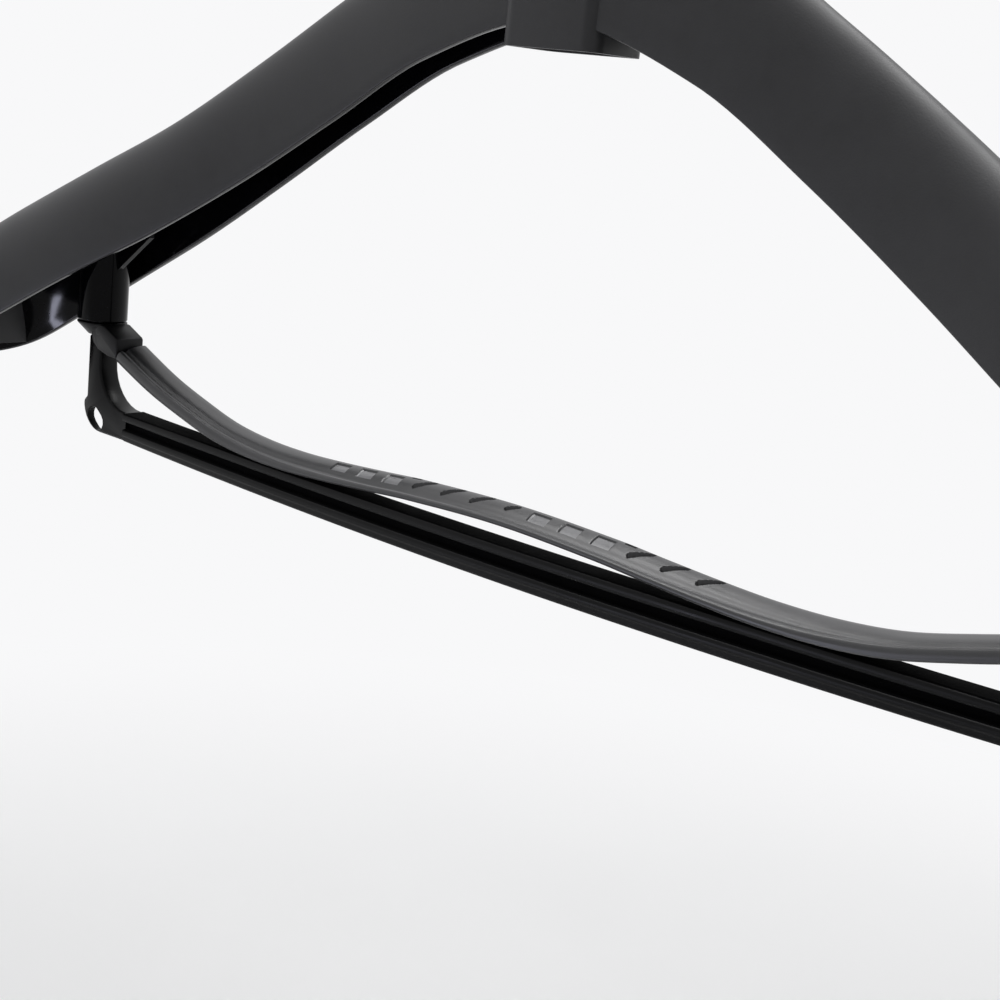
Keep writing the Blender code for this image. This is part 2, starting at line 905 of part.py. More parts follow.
def make_hook(material):
    """The bent wire, with a rounded tip."""
    path = hook_path()
    curve = bpy.data.curves.new("swivel_hook", "CURVE")
    curve.dimensions = "3D"
    curve.bevel_depth = wire_radius
    curve.bevel_resolution = 4
    curve.use_fill_caps = True
    last, before = Vector(path[-1]), Vector(path[-2])
    heading = (last - before).normalized()
    rounding = []
    for step in range(1, tip_steps + 1):
        turn = tip_turn_step * step
        point = last + heading * wire_radius * math.sin(turn)
        rounding.append((point, math.cos(turn)))
    points = [(Vector(point), 1.0) for point in path] + rounding
    spline = curve.splines.new("POLY")
    spline.points.add(len(points) - 1)
    for spot, (point, share) in zip(spline.points, points):
        spot.co = (point.x, 0.0, point.y, 1.0)
        spot.radius = share
    curve.materials.append(material)
    hook = bpy.data.objects.new("swivel_hook", curve)
    bpy.context.scene.collection.objects.link(hook)
    hook.modifiers.new("weld caps", "WELD").merge_threshold = weld_distance
    return hook


def make_collar(material):
    """The ferrule on the neck, with a spigot in the neck's counterbore."""
    seat = raised(neck_top + fit_gap)
    top = seat + collar_height
    solid = turned(
        [
            (wire_bore, raised(neck_top - collar_spigot_length)),
            (collar_spigot_radius, raised(neck_top - collar_spigot_length)),
            (collar_spigot_radius, seat),
            (collar_radius, seat),
            (collar_radius, top - collar_chamfer),
            (collar_radius - collar_chamfer, top),
            (wire_bore, top),
        ]
    )
    return place("neck_collar", solid, material)


def make_washer(material):
    top = raised(web_bottom - fit_gap)
    low = top - washer_thickness
    solid = turned([(wire_bore, low), (washer_radius, low), (washer_radius, top), (wire_bore, top)])
    return place("hook_washer", solid, material)


def make_nut(material):
    """A six-sided nut on the wire's end."""
    corner = nut_across_flats / math.sqrt(3)
    nut = place("hook_nut", rod(corner, raised(nut_bottom), raised(nut_top), nut_sides), material)
    hole = rod(wire_bore, raised(nut_bottom - cut_overrun), raised(nut_top + cut_overrun))
    cut(nut, place("nut hole", hole))
    return nut


def build():
    clear_scene()
    satin_black = plastic("satin black polystyrene", (0.030, 0.030, 0.032), 0.42)
    gloss_black = plastic("gloss black polystyrene", (0.008, 0.008, 0.010), 0.22)
    nylon_black = plastic("black nylon", (0.016, 0.016, 0.017), 0.35)
    soft_grey = plastic("dark grey soft rubber", (0.065, 0.065, 0.068), 0.55)
    chrome = plastic("polished chrome", (0.62, 0.63, 0.65), 0.12, 1.0)
    zinc = plastic("zinc plated steel", (0.50, 0.51, 0.52), 0.35, 1.0)
    make_shoulders(satin_black)
    make_trouser_bar(gloss_black)
    make_press_bar(nylon_black)
    make_grip(soft_grey)
    make_hook(chrome)
    make_collar(chrome)
    make_washer(zinc)
    make_nut(zinc)


build()
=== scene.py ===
# %% [markdown]
# # Suit hanger: finishes, fine shapes, light and camera
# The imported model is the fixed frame: it gives the size and the place of each piece and
# says what turns. This lesson lays finer pieces over it. Each one is shaped with mesh
# operators, gets a material named for the real one, and rides on the body that carries
# it. Lengths are in metres, X runs along the bars, Y to the back and Z up, and the origin
# is where the hook rests on its rail.

# %% Load the frame
import math

import bmesh
import bpy
from mathutils import Matrix, Vector


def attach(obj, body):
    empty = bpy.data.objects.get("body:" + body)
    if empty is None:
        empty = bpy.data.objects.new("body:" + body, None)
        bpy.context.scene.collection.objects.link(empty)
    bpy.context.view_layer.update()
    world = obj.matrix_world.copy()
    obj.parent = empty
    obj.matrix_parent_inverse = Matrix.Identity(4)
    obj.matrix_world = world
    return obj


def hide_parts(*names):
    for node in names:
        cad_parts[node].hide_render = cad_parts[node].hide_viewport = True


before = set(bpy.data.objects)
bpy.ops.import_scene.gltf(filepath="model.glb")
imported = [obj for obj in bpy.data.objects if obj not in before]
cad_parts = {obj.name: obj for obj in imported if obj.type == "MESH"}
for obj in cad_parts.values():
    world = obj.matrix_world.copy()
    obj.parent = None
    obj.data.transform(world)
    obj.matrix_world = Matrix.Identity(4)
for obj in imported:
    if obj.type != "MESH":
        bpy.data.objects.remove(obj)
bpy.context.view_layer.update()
print("nodes:", sorted(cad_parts))

# %% [markdown]
# ## Sizes
# A finer piece has to sit where the solid sits, so the sizes that place it are the same
# ones. Heights are counted upwards from the middle of the trouser bar's top, and `raised`
# turns them into places under the rail. A table gives the shoulder's rim, height, width
# and forward bend at a few places, as shares of its full sizes, and a smooth curve runs
# through its rows. Typing hundreds of points would give the same shape, but nobody could
# change it afterwards.

# %% Sizes of the shoulders
mm = 0.001
rail_height = 227.6 * mm
shoulder_reach = 226.0 * mm
shoulder_height = 120.6 * mm
section_height = 34.5 * mm
section_half_width = 17.0 * mm
shoulder_sweep = 21.0 * mm
shell_wall = 2.2 * mm
end_rounding = 31.0 * mm
end_rise_share = 0.08
arch_exponent = 2.3
bar_plane = -4.5 * mm
shoulder_shares = (
    (0.000, 1.000, 0.900, 0.506, 0.000),
    (0.177, 0.910, 0.920, 0.447, 0.000),
    (0.310, 0.767, 0.940, 0.424, 0.005),
    (0.442, 0.614, 0.945, 0.506, 0.057),
    (0.575, 0.462, 0.930, 0.682, 0.210),
    (0.708, 0.325, 0.950, 0.888, 0.380),
    (0.819, 0.201, 0.985, 0.976, 0.580),
    (0.907, 0.099, 1.000, 0.994, 0.810),
    (1.000, 0.028, 1.000, 1.000, 1.000),
)


def raised(height):
    """A height over the trouser bar, as a Z place under the rail."""
    return height - rail_height


def glide(start, start_slope, end, end_slope, t):
    """A smooth way from one value or vector to another, with its slope at both ends."""
    return (
        start * (1 + 2 * t) * (1 - t) ** 2
        + start_slope * t * (1 - t) ** 2
        + end * t * t * (3 - 2 * t)
        + end_slope * t * t * (t - 1)
    )


def eased(table, share):
    """Reads a table by its first column, along a smooth curve through its rows."""
    last = len(table) - 1
    row = 0
    while row < last - 1 and share > table[row + 1][0]:
        row += 1
    low, high = table[row], table[row + 1]
    before, after = table[max(row - 1, 0)], table[min(row + 2, last)]
    span = high[0] - low[0]
    t = min(max((share - low[0]) / span, 0.0), 1.0)
    values = []
    for column in range(1, len(low)):
        slope_low = (high[column] - before[column]) / (high[0] - before[0]) * span
        slope_high = (after[column] - low[column]) / (after[0] - low[0]) * span
        if row == 0:
            slope_low = 0.0
        values.append(glide(low[column], slope_low, high[column], slope_high, t))
    return values


print("hanger width in mm:", round(2 * shoulder_reach / mm, 1))

# %% [markdown]
# ## Colours and shader nodes
# Paint charts give colours in sRGB, while Blender mixes light in linear values, so one
# function turns a hex colour into a linear one. A second one adds a shader node with its
# settings and links, and short helpers on top of it add a noise, a tone, a range and a
# bump. `coarseness` turns a size in millimetres into a noise scale, so that a grain of
# 0.4 mm stays 0.4 mm on every piece. The patterns are solid ones on Object coordinates:
# they need no unwrapping, and they stay with a piece when it moves.

# %% Colour and node helpers
noise_range = (0.3, 0.7)


def linear(hex_colour):
    """An sRGB hex colour as linear red, green, blue and alpha."""
    parts = [int(hex_colour[place : place + 2], 16) / 255 for place in (1, 3, 5)]
    steps = [p / 12.92 if p <= 0.04045 else ((p + 0.055) / 1.055) ** 2.4 for p in parts]
    return (*steps, 1.0)


def coarseness(size_in_mm):
    """The noise scale for a feature of a real size."""
    return 1.0 / (size_in_mm * mm)


def new_material(name):
    """A material with its node tree and its main shader."""
    material = bpy.data.materials.new(name)
    material.use_nodes = True
    return material, material.node_tree, material.node_tree.nodes["Principled BSDF"]


def add_node(tree, kind, settings, links):
    """Adds one shader node, with its properties, its input values and its links."""
    node = tree.nodes.new(kind)
    for name, value in settings.items():
        if name in node.inputs:
            node.inputs[name].default_value = value
        else:
            setattr(node, name, value)
    for name, socket in links.items():
        tree.links.new(socket, node.inputs[name])
    return node


def noise(tree, place, size_in_mm, detail, roughness=0.5):
    """A noise whose features have a real size."""
    settings = {"Scale": coarseness(size_in_mm), "Detail": detail, "Roughness": roughness}
    return add_node(tree, "ShaderNodeTexNoise", settings, {"Vector": place}).outputs["Fac"]


def tone_between(tree, value, *tones):
    """A colour that runs between two hex colours as a noise rises."""
    node = add_node(tree, "ShaderNodeValToRGB", {}, {"Fac": value})
    for number in (0, 1):
        node.color_ramp.elements[number].position = noise_range[number]
        node.color_ramp.elements[number].color = linear(tones[number])
    return node.outputs["Color"]


def mapped(tree, value, given, wanted, curve="LINEAR"):
    """A value carried over from one range to another."""
    settings = {"From Min": given[0], "From Max": given[1], "interpolation_type": curve}
    settings |= {"To Min": wanted[0], "To Max": wanted[1]}
    return add_node(tree, "ShaderNodeMapRange", settings, {"Value": value}).outputs["Result"]


def bumped(tree, height, depth_in_mm, strength=1.0, more_links=None):
    """A surface direction that is tilted by a pattern of a real depth."""
    settings = {"Strength": strength, "Distance": depth_in_mm * mm}
    links = {"Height": height} | (more_links or {})
    return add_node(tree, "ShaderNodeBump", settings, links).outputs["Normal"]


print("middle grey in linear light:", round(linear("#808080")[0], 3))

# %% [markdown]
# ## Moulded plastics
# A moulded plastic takes its surface from the steel of its mould. Where the steel was
# spark-eroded, as outside the shoulders, the plastic is satin: a fine grain breaks up
# each reflection. Where the steel was polished, as inside the shoulders and on the posts,
# the plastic is glossy and shows only a slow waviness from shrinking. One recipe mixes a
# cloudy tone, a fine grain and a slow wave, and each finish gives the width and height of
# its grain and wave in millimetres. A picture texture could show the same, but it would
# need unwrapping and would blur up close.

# %% Plastic recipe
def moulded_plastic(name, tones, gloss, grain, wave, ior, shine, cloud_mm=14.0):
    """A moulded plastic from its tone range, roughness range, grain and waviness."""
    material, tree, shader = new_material(name)
    shader.inputs["Specular IOR Level"].default_value = shine
    shader.inputs["IOR"].default_value = ior
    place = add_node(tree, "ShaderNodeTexCoord", {}, {}).outputs["Object"]
    cloud = noise(tree, place, cloud_mm, detail=4.0, roughness=0.6)
    grain_mm, grain_height = grain
    wave_mm, wave_height = wave
    speck = noise(tree, place, grain_mm, detail=2.0)
    swell = noise(tree, place, wave_mm, detail=1.0)
    slow = bumped(tree, swell, wave_height)
    fine = bumped(tree, speck, grain_height, more_links={"Normal": slow})
    tree.links.new(tone_between(tree, cloud, *tones), shader.inputs["Base Color"])
    tree.links.new(mapped(tree, cloud, noise_range, gloss), shader.inputs["Roughness"])
    tree.links.new(fine, shader.inputs["Normal"])
    return material


# %% Plastic finishes
polystyrene_ior, nylon_ior, rubber_ior = 1.59, 1.53, 1.50

# High-impact polystyrene off spark-eroded steel: dark grey, with soft wide reflections
satin_polystyrene = moulded_plastic(
    "satin moulded polystyrene", tones=("#28282a", "#313133"), gloss=(0.42, 0.52),
    grain=(0.45, 0.020), wave=(26.0, 0.10), ior=polystyrene_ior, shine=0.35,
)
# The same polystyrene off polished steel: near black, with sharp reflections
polished_polystyrene = moulded_plastic(
    "polished moulded polystyrene", tones=("#060608", "#0b0b0e"), gloss=(0.05, 0.08),
    grain=(0.8, 0.001), wave=(16.0, 0.05), ior=polystyrene_ior, shine=0.08,
)
# The thin edge where the two halves of the mould met: glossier than the shell, and a little
# lighter, a painted highlight along the rim
rim_highlight_polystyrene = moulded_plastic(
    "polystyrene edge with painted highlight", tones=("#2a2a2c", "#363638"), gloss=(0.26, 0.36),
    grain=(0.6, 0.006), wave=(9.0, 0.04), ior=polystyrene_ior, shine=0.3,
)
# The trouser bar's polystyrene: black, brighter than the shoulders' but not polished
bar_polystyrene = moulded_plastic(
    "semi-gloss moulded polystyrene", tones=("#0a0a0b", "#111112"), gloss=(0.26, 0.38),
    grain=(0.35, 0.008), wave=(11.0, 0.06), ior=polystyrene_ior, shine=0.12,
)
# The bar's level faces and its groove keep the sparked grain of the mould, to hold cloth, and a
# darker tone that is painted shade under the press bar and in the groove
grained_polystyrene_painted_shade = moulded_plastic(
    "grained polystyrene with painted shade", tones=("#060607", "#0c0c0d"), gloss=(0.80, 0.92),
    grain=(0.50, 0.060), wave=(11.0, 0.04), ior=polystyrene_ior, shine=0.04,
)
# Black nylon, springy enough for the snap clip, with the dull shine of wax
waxy_nylon = moulded_plastic(
    "moulded nylon", tones=("#0d0d0f", "#161618"), gloss=(0.34, 0.46),
    grain=(0.30, 0.010), wave=(8.0, 0.05), ior=nylon_ior, shine=0.2,
)
# Soft-touch rubber moulded over the nylon: dark grey, with a soft shine and a fine grain
soft_rubber = moulded_plastic(
    "soft-touch rubber", tones=("#2d2d2f", "#353537"), gloss=(0.31, 0.36),
    grain=(0.30, 0.008), wave=(9.0, 0.02), ior=rubber_ior, shine=0.75, cloud_mm=6.0,
)
# The floors of the tread pockets: the same rubber, a little smoother, in a much paler tone that is
# a painted highlight
painted_highlight_rubber = moulded_plastic(
    "soft-touch rubber with painted highlight", tones=("#707072", "#808082"), gloss=(0.26, 0.34),
    grain=(0.30, 0.006), wave=(7.0, 0.03), ior=rubber_ior, shine=0.6, cloud_mm=6.0,
)
print("last of the plastics:", painted_highlight_rubber.name)

# %% [markdown]
# ## Metals
# The hook is drawn steel wire with a nickel and chrome plating. Drawing the wire through
# its die leaves hairlines, so its roughness varies in a pattern that is stretched along
# Z, where most of the wire runs. The washer and the nut are zinc plated, and a Voronoi
# pattern draws the small dull crystals of the zinc.

# %% Metal finishes
pattern_range = (0.2, 0.8)
plating_relief_mm = 0.006


def plated_steel(name, tone, gloss, pattern, size_in_mm, stretch):
    """A plated steel whose roughness follows a stretched pattern."""
    material, tree, shader = new_material(name)
    shader.inputs["Base Color"].default_value = linear(tone)
    shader.inputs["Metallic"].default_value = 1.0
    place = add_node(tree, "ShaderNodeTexCoord", {}, {}).outputs["Object"]
    drawn = add_node(tree, "ShaderNodeMapping", {"Scale": stretch}, {"Vector": place})
    settings = {"Scale": coarseness(size_in_mm)}
    marks = add_node(tree, pattern, settings, {"Vector": drawn.outputs["Vector"]}).outputs
    value = marks["Fac"] if "Fac" in marks else marks["Distance"]
    tree.links.new(mapped(tree, value, pattern_range, gloss), shader.inputs["Roughness"])
    relief = bumped(tree, value, plating_relief_mm, strength=0.5)
    tree.links.new(relief, shader.inputs["Normal"])
    return material


chrome_plate = plated_steel(
    "chrome plated steel wire", tone="#cfd1d4", gloss=(0.07, 0.16),
    pattern="ShaderNodeTexNoise", size_in_mm=0.5, stretch=(1.0, 1.0, 0.06),
)
zinc_plate = plated_steel(
    "zinc plated steel", tone="#b4b7ba", gloss=(0.30, 0.48),
    pattern="ShaderNodeTexVoronoi", size_in_mm=0.9, stretch=(1.0, 1.0, 1.0),
)
print("metals:", chrome_plate.name, "and", zinc_plate.name)

# %% [markdown]
# ## From mesh to piece
# Every piece goes through the same last steps. Its doubles are merged, its faces turned
# outwards and shaded smooth up to a sharp angle. Then it rides on a body and stands for a
# solid of the frame, which is hidden but still collides. Its own place stays at the
# origin, so a pattern on Object coordinates can't slide.

# %% Finishing a piece
sharp_edge = math.radians(38)
weld = 0.01 * mm
sides = ((-1, "left"), (1, "right"))
on_shoulders = ("frame", "shoulder_body", "satin_shell")
on_bar = ("frame", "trouser_bar", "gloss_bar")
on_gate = ("gate", "press_bar", "nylon_core")


def add_object(name, data):
    """Adds an object to the scene."""
    added = bpy.data.objects.new(name, data)
    bpy.context.scene.collection.objects.link(added)
    return added


def add_mesh(name, shape, materials):
    """Adds a smooth object made of a mesh under construction."""
    mesh = bpy.data.meshes.new(name)
    shape.to_mesh(mesh)
    shape.free()
    for material in materials:
        mesh.materials.append(material)
    mesh.shade_smooth()
    print(name, len(mesh.polygons), "faces")
    return add_object(name, mesh)


def finish_piece(name, shape, body, node, slot, materials, turn_out=True):
    """Cleans a mesh, makes an object of it and ties it to the frame."""
    bmesh.ops.remove_doubles(shape, verts=shape.verts, dist=weld)
    if turn_out:
        bmesh.ops.recalc_face_normals(shape, faces=shape.faces)
    piece = add_mesh(name, shape, materials)
    piece.data.set_sharp_from_angle(angle=sharp_edge)
    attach(piece, body)
    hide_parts(node)


# %% [markdown]
# ## Steps that repeat
# Cutting off, rounding and drawing a section along X come back on several pieces, so each
# is a function. A spin with no angle and a sideways step draws a section along in one go.

# %% Mesh helpers
def placed(shape, x, y, z=0.0):
    """Moves a whole shape."""
    bmesh.ops.translate(shape, verts=shape.verts, vec=(x, y, z))
    return shape


def corners_in(items):
    """The points among the parts that an operator returns."""
    return [item for item in items if isinstance(item, bmesh.types.BMVert)]


def whole(shape):
    """All points, edges and faces of a shape."""
    return list(shape.verts) + list(shape.edges) + list(shape.faces)


def face_height(face):
    """The height of a face's middle."""
    return face.calc_center_median().z


def folds(shape, least_angle):
    """The edges at which two faces meet at more than an angle."""
    edges = [edge for edge in shape.edges if len(edge.link_faces) == 2]
    return [edge for edge in edges if edge.calc_face_angle(0) > least_angle]


print("points closer than this in mm are merged:", weld / mm)

# %% Operators that repeat
def rounded(shape, geom, width, segments, affect="EDGES", clamp=False):
    """Rounds edges or corners off, and returns the new faces."""
    return bmesh.ops.bevel(
        shape, geom=geom, offset=width, segments=segments, profile=0.5, affect=affect,
        material=-1, clamp_overlap=clamp,
    )["faces"]


def cut_off(shape, place, outward):
    """Cuts a shape off at a plane and closes the cut."""
    bmesh.ops.bisect_plane(
        shape, geom=whole(shape), plane_co=place, plane_no=outward, clear_outer=True
    )
    open_edges = [edge for edge in shape.edges if len(edge.link_faces) < 2]
    bmesh.ops.holes_fill(shape, edges=open_edges, sides=0)


def extrude(shape, faces, step):
    """Extrudes faces by a step along X, Y and Z."""
    pushed = bmesh.ops.extrude_face_region(shape, geom=faces)["geom"]
    bmesh.ops.translate(shape, verts=corners_in(pushed), vec=step)


def bridge(shape, chains):
    """Joins each chain of edges to the next."""
    for near, far in zip(chains, chains[1:]):
        bmesh.ops.bridge_loops(shape, edges=near + far)


def draw_along(shape, steps, step_length):
    """Draws a section along X."""
    bmesh.ops.spin(
        shape, geom=whole(shape), axis=(1, 0, 0), angle=0.0, steps=steps,
        dvec=(step_length, 0, 0), use_duplicate=False,
    )


print("edges are sharp from degrees:", round(math.degrees(sharp_edge)))

# %% [markdown]
# ## Shoulders
# The shoulders are one open-bottomed shell. It could be a subdivided box, but the table
# above already gives each cross-section, so one arch is made at each place along X and
# the arches are bridged. An arch starts as half of a circle whose points are pushed
# outwards into a fuller curve. The stations crowd together at the ends, where the shell
# rounds off, and the last arch shrinks to a point that the weld closes. Solidify gives
# the sheet its wall, and the new inner faces take the polished finish. A moulding leaves
# its mould only if its walls lean, so the inner face is drawn in towards the crest.

# %% Shoulder sections
arch_steps = 40


def shoulder_at(x, inset=0.0):
    """Rim height, arch height, half width and middle of the shoulder at a place along X."""
    reach = shoulder_reach - inset
    rim, tall, wide, bend = eased(shoulder_shares, abs(x) / shoulder_reach)
    past = max(abs(x) - (reach - end_rounding), 0.0) / end_rounding
    ending = math.sqrt(max(1.0 - past * past, 0.0))
    height = section_height * tall
    rim_height = shoulder_height * rim + (1.0 - ending) * end_rise_share * height
    half_width = (section_half_width * wide - inset) * ending
    return rim_height, (height - inset) * ending, half_width, -shoulder_sweep * bend


def roof_over(x, y, inset):
    """The height of the shoulder's skin over a place, drawn in by an inset."""
    rim, height, half_width, middle = shoulder_at(x, inset)
    aside = min(abs(y - middle) / max(half_width, weld), 1.0)
    return raised(rim + height * (1.0 - aside**arch_exponent) ** (1 / arch_exponent))


def arch_chain(shape, x, inset=0.0):
    """Adds one arch over the shoulder as a chain of edges, and returns the edges."""
    rim, height, half_width, middle = shoulder_at(x, inset)
    circle = bmesh.ops.create_circle(shape, segments=2 * arch_steps, radius=1.0)["verts"]
    lower = [vert for vert in circle if vert.co.y < -weld]
    upper = [vert for vert in circle if vert.co.y >= -weld]
    bmesh.ops.delete(shape, geom=lower, context="VERTS")
    for vert in upper:
        across, up = vert.co.x, max(vert.co.y, 0.0)
        aside = math.copysign(abs(across) ** (2 / arch_exponent), across)
        over = up ** (2 / arch_exponent)
        vert.co = (x, middle + half_width * aside, raised(rim + height * over))
    kept = set(upper)
    starting = [edge for vert in upper for edge in vert.link_edges if edge.verts[0] == vert]
    return [edge for edge in starting if kept.issuperset(edge.verts)]


print("arch height at the middle in mm:", round(shoulder_at(0.0)[1] / mm, 2))

# %% Shoulder shell
straight_stations = 56
end_stations = 22
straight = shoulder_reach - end_rounding
side_places = [straight * step / straight_stations for step in range(1, straight_stations + 1)]
for step in range(1, end_stations + 1):
    side_places.append(straight + end_rounding * math.sin(math.pi / 2 * step / end_stations))
places = [-x for x in reversed(side_places)] + [0.0] + side_places

shell = bmesh.new()
bridge(shell, [arch_chain(shell, x) for x in places])
bmesh.ops.remove_doubles(shell, verts=shell.verts, dist=weld)
loose = [face for face in shell.faces if face.calc_area() < weld * weld]
bmesh.ops.delete(shell, geom=loose, context="FACES")
bmesh.ops.recalc_face_normals(shell, faces=shell.faces)
print("shell sheet:", len(shell.faces), "faces")

# %% Shell wall
mould_draft = 0.14
least_half_width = 5.0 * mm
rim_rounding = 0.5 * mm
skin = set(shell.faces)
crest = max(shell.faces, key=face_height)
if crest.normal.z < 0:
    bmesh.ops.reverse_faces(shell, faces=shell.faces)
bmesh.ops.solidify(shell, geom=list(shell.faces), thickness=shell_wall)
outer_corners = {vert for face in skin for vert in face.verts}
for vert in shell.verts:
    if vert not in outer_corners:
        rim, _, half_width, middle = shoulder_at(vert.co.x)
        side_share = (vert.co.y - middle) / max(half_width, least_half_width)
        vert.co.y -= mould_draft * max(vert.co.z - raised(rim), 0.0) * side_share
for face in shell.faces:
    face.material_index = 0 if face in skin else 1
# The rounded rim takes the edge finish, whose lighter tone is a painted highlight
for face in rounded(shell, folds(shell, sharp_edge * 2), rim_rounding, segments=3):
    face.material_index = 2
shell_finishes = [satin_polystyrene, polished_polystyrene, rim_highlight_polystyrene]
finish_piece("shoulder_shell", shell, *on_shoulders, shell_finishes, turn_out=False)

# %% [markdown]
# ## Inside the shoulders
# Thin ribs stiffen the shell and close its ends, and two posts take the trouser bar. A
# rib is the same arch, filled, extruded to its thickness and cut off level at its foot.
# The ribs that close the ends can be seen from outside and are satin, the others are
# polished. A post is a profile spun round its axis, whose top follows the roof, so that
# it grows out of the shell without a gap.

# %% Ribs
rib_thickness = 1.6 * mm
rib_table = (
    (0.27, 0.30, polished_polystyrene),
    (0.47, 0.30, polished_polystyrene),
    (0.907, 0.02, satin_polystyrene),
)


def rib_plate(x, foot_share):
    """A rib across the shell, from the roof down to its foot."""
    shape = bmesh.new()
    chain = arch_chain(shape, x - rib_thickness / 2, inset=shell_wall / 2)
    bmesh.ops.contextual_create(shape, geom=chain)
    extrude(shape, list(shape.faces), (rib_thickness, 0, 0))
    rim, height, _, _ = shoulder_at(x)
    cut_off(shape, (0, 0, raised(rim + height * foot_share)), (0, 0, -1))
    return shape


for side, word in sides:
    for number, (reach_share, foot_share, finish) in enumerate(rib_table, start=1):
        rib = rib_plate(side * reach_share * shoulder_reach, foot_share)
        finish_piece(f"shell_rib_{word}_{number}", rib, *on_shoulders, [finish])

# %% Posts
post_reach = 163.6 * mm
post_radius = 7.25 * mm
post_foot = 26.5 * mm
post_bore_depth = 22.0 * mm
stub_bore = 3.2 * mm
post_rounding = 0.7 * mm
around = 64
quarter_steps = 4


def spun(profile, steps=around):
    """Spins a profile of radius and height points round the Z axis."""
    shape = bmesh.new()
    verts = [shape.verts.new((radius, 0.0, height)) for radius, height in profile]
    edges = [shape.edges.new(pair) for pair in zip(verts, verts[1:])]
    bmesh.ops.spin(
        shape, geom=verts + edges, axis=(0, 0, 1), angle=math.tau,
        steps=steps, use_merge=True,
    )
    bmesh.ops.remove_doubles(shape, verts=shape.verts, dist=weld)
    return shape


def arc(center, radius, start, turn, steps):
    """Points along an arc, both ends included."""
    angles = [start + turn * step / steps for step in range(steps + 1)]
    x, y = center
    return [Vector((x + radius * math.cos(a), y + radius * math.sin(a))) for a in angles]


def quarter(x, y, radius, start):
    """A quarter circle in a spun profile, from a starting angle in degrees."""
    return arc((x, y), radius, math.radians(start), math.pi / 2, quarter_steps)


def post(side):
    """A post whose top follows the roof of the shell."""
    foot = raised(post_foot)
    bore_top = raised(post_foot + post_bore_depth)
    top = raised(post_foot + section_height)
    profile = [(0, bore_top), (stub_bore, bore_top - stub_bore), (stub_bore, foot)]
    profile += quarter(post_radius - post_rounding, foot + post_rounding, post_rounding, -90)
    profile += [(post_radius, top), (0, top)]
    shape = placed(spun(profile), side * post_reach, bar_plane)
    for vert in shape.verts:
        if vert.co.z > top - weld:
            vert.co.z = roof_over(vert.co.x, vert.co.y, shell_wall / 2)
    return shape


for side, word in sides:
    finish_piece(f"post_{word}", post(side), *on_shoulders, [polished_polystyrene])

# %% Gussets beside the posts
gusset_length = 14.0 * mm
gusset_drop = 20.0 * mm
gusset_steps = 8


def gusset(side):
    """A thin web that stays a post against the roof, on the side towards the middle."""
    shape = bmesh.new()
    outer = post_reach - post_radius / 2
    inner = post_reach - post_radius - gusset_length
    front = bar_plane - rib_thickness / 2
    low = raised(post_foot + gusset_drop) - gusset_length / 2
    high = raised(post_foot + gusset_drop) + gusset_length / 2
    ends = [(side * outer, front, low), (side * inner, front, high)]
    foot_edge = shape.edges.new([shape.verts.new(end) for end in ends])
    bmesh.ops.subdivide_edges(shape, edges=[foot_edge], cuts=gusset_steps)
    pushed = bmesh.ops.extrude_edge_only(shape, edges=list(shape.edges))["geom"]
    for corner in corners_in(pushed):
        corner.co.z = roof_over(corner.co.x, corner.co.y, shell_wall / 2)
    extrude(shape, list(shape.faces), (0, rib_thickness, 0))
    return shape


for side, word in sides:
    finish_piece(f"gusset_{word}", gusset(side), *on_shoulders, [polished_polystyrene])

# %% [markdown]
# ## Neck
# The neck is a block with rounded corners that the hook turns in: a cube whose upright
# edges are bevelled, and then its lid with a smaller bevel. Below, an inset and an extrude
# hollow it out, as the mould does to keep the wall even.

# %% Neck block
neck_width = 28.0 * mm
neck_depth = 19.6 * mm
neck_top = 154.6 * mm
neck_height = 40.0 * mm
neck_corner = 4.0 * mm
lid_rounding = 1.2 * mm
neck_wall = 2.5 * mm
neck_web = 8.7 * mm


def neck_block():
    """The block on the shoulders' middle, hollow from below."""
    shape = bmesh.new()
    bmesh.ops.create_cube(shape, size=1.0)
    bmesh.ops.scale(shape, vec=(neck_width, neck_depth, neck_height), verts=shape.verts)
    placed(shape, 0, 0, raised(neck_top - neck_height / 2))
    ends = [(edge, *edge.verts) for edge in shape.edges]
    upright = [edge for edge, a, b in ends if abs(a.co.z - b.co.z) > neck_corner]
    rounded(shape, upright, neck_corner, segments=10)
    lid = max(shape.faces, key=face_height)
    rounded(shape, list(lid.edges), lid_rounding, segments=5)
    base = min(shape.faces, key=face_height)
    bmesh.ops.inset_region(shape, faces=[base], thickness=neck_wall, use_even_offset=True)
    base = min(shape.faces, key=lambda face: (round(face_height(face), 5), -len(face.verts)))
    extrude(shape, [base], (0, 0, neck_height - neck_web))
    bmesh.ops.delete(shape, geom=[base], context="FACES_ONLY")
    return shape


finish_piece("neck_block", neck_block(), *on_shoulders, [satin_polystyrene])

# %% [markdown]
# ## Trouser bar
# The lower bar is a ribbed profile drawn along X: a rounded top lip, a groove, and a
# bead below it, which keep cloth from sliding. The profile is a few corners whose
# rounding comes from a vertex bevel. Once it is drawn along, its points are moved so that
# the bar thins and rises towards its ends, and the level faces and the groove get the
# grained finish, whose darker tone is painted shade.

# %% Lower bar
bar_depth = 8.4 * mm
bar_thickness = 9.5 * mm
bar_straight = 146.0 * mm
bar_top_rise = 2.0 * mm
bar_belly_rise = 3.15 * mm
bar_rounding = 0.22 * mm
bar_steps = 96
groove_share = 0.75
level_from, end_from = 0.8, 0.3
bar_section_shares = (
    (0.80, 0.00), (0.95, 0.04), (1.00, 0.11), (1.00, 0.19), (0.95, 0.26),
    (0.82, 0.30), (0.52, 0.32), (0.52, 0.54), (0.82, 0.56), (0.95, 0.60),
    (1.00, 0.67), (0.98, 0.76), (0.90, 0.82), (0.86, 0.94), (0.78, 1.00),
)


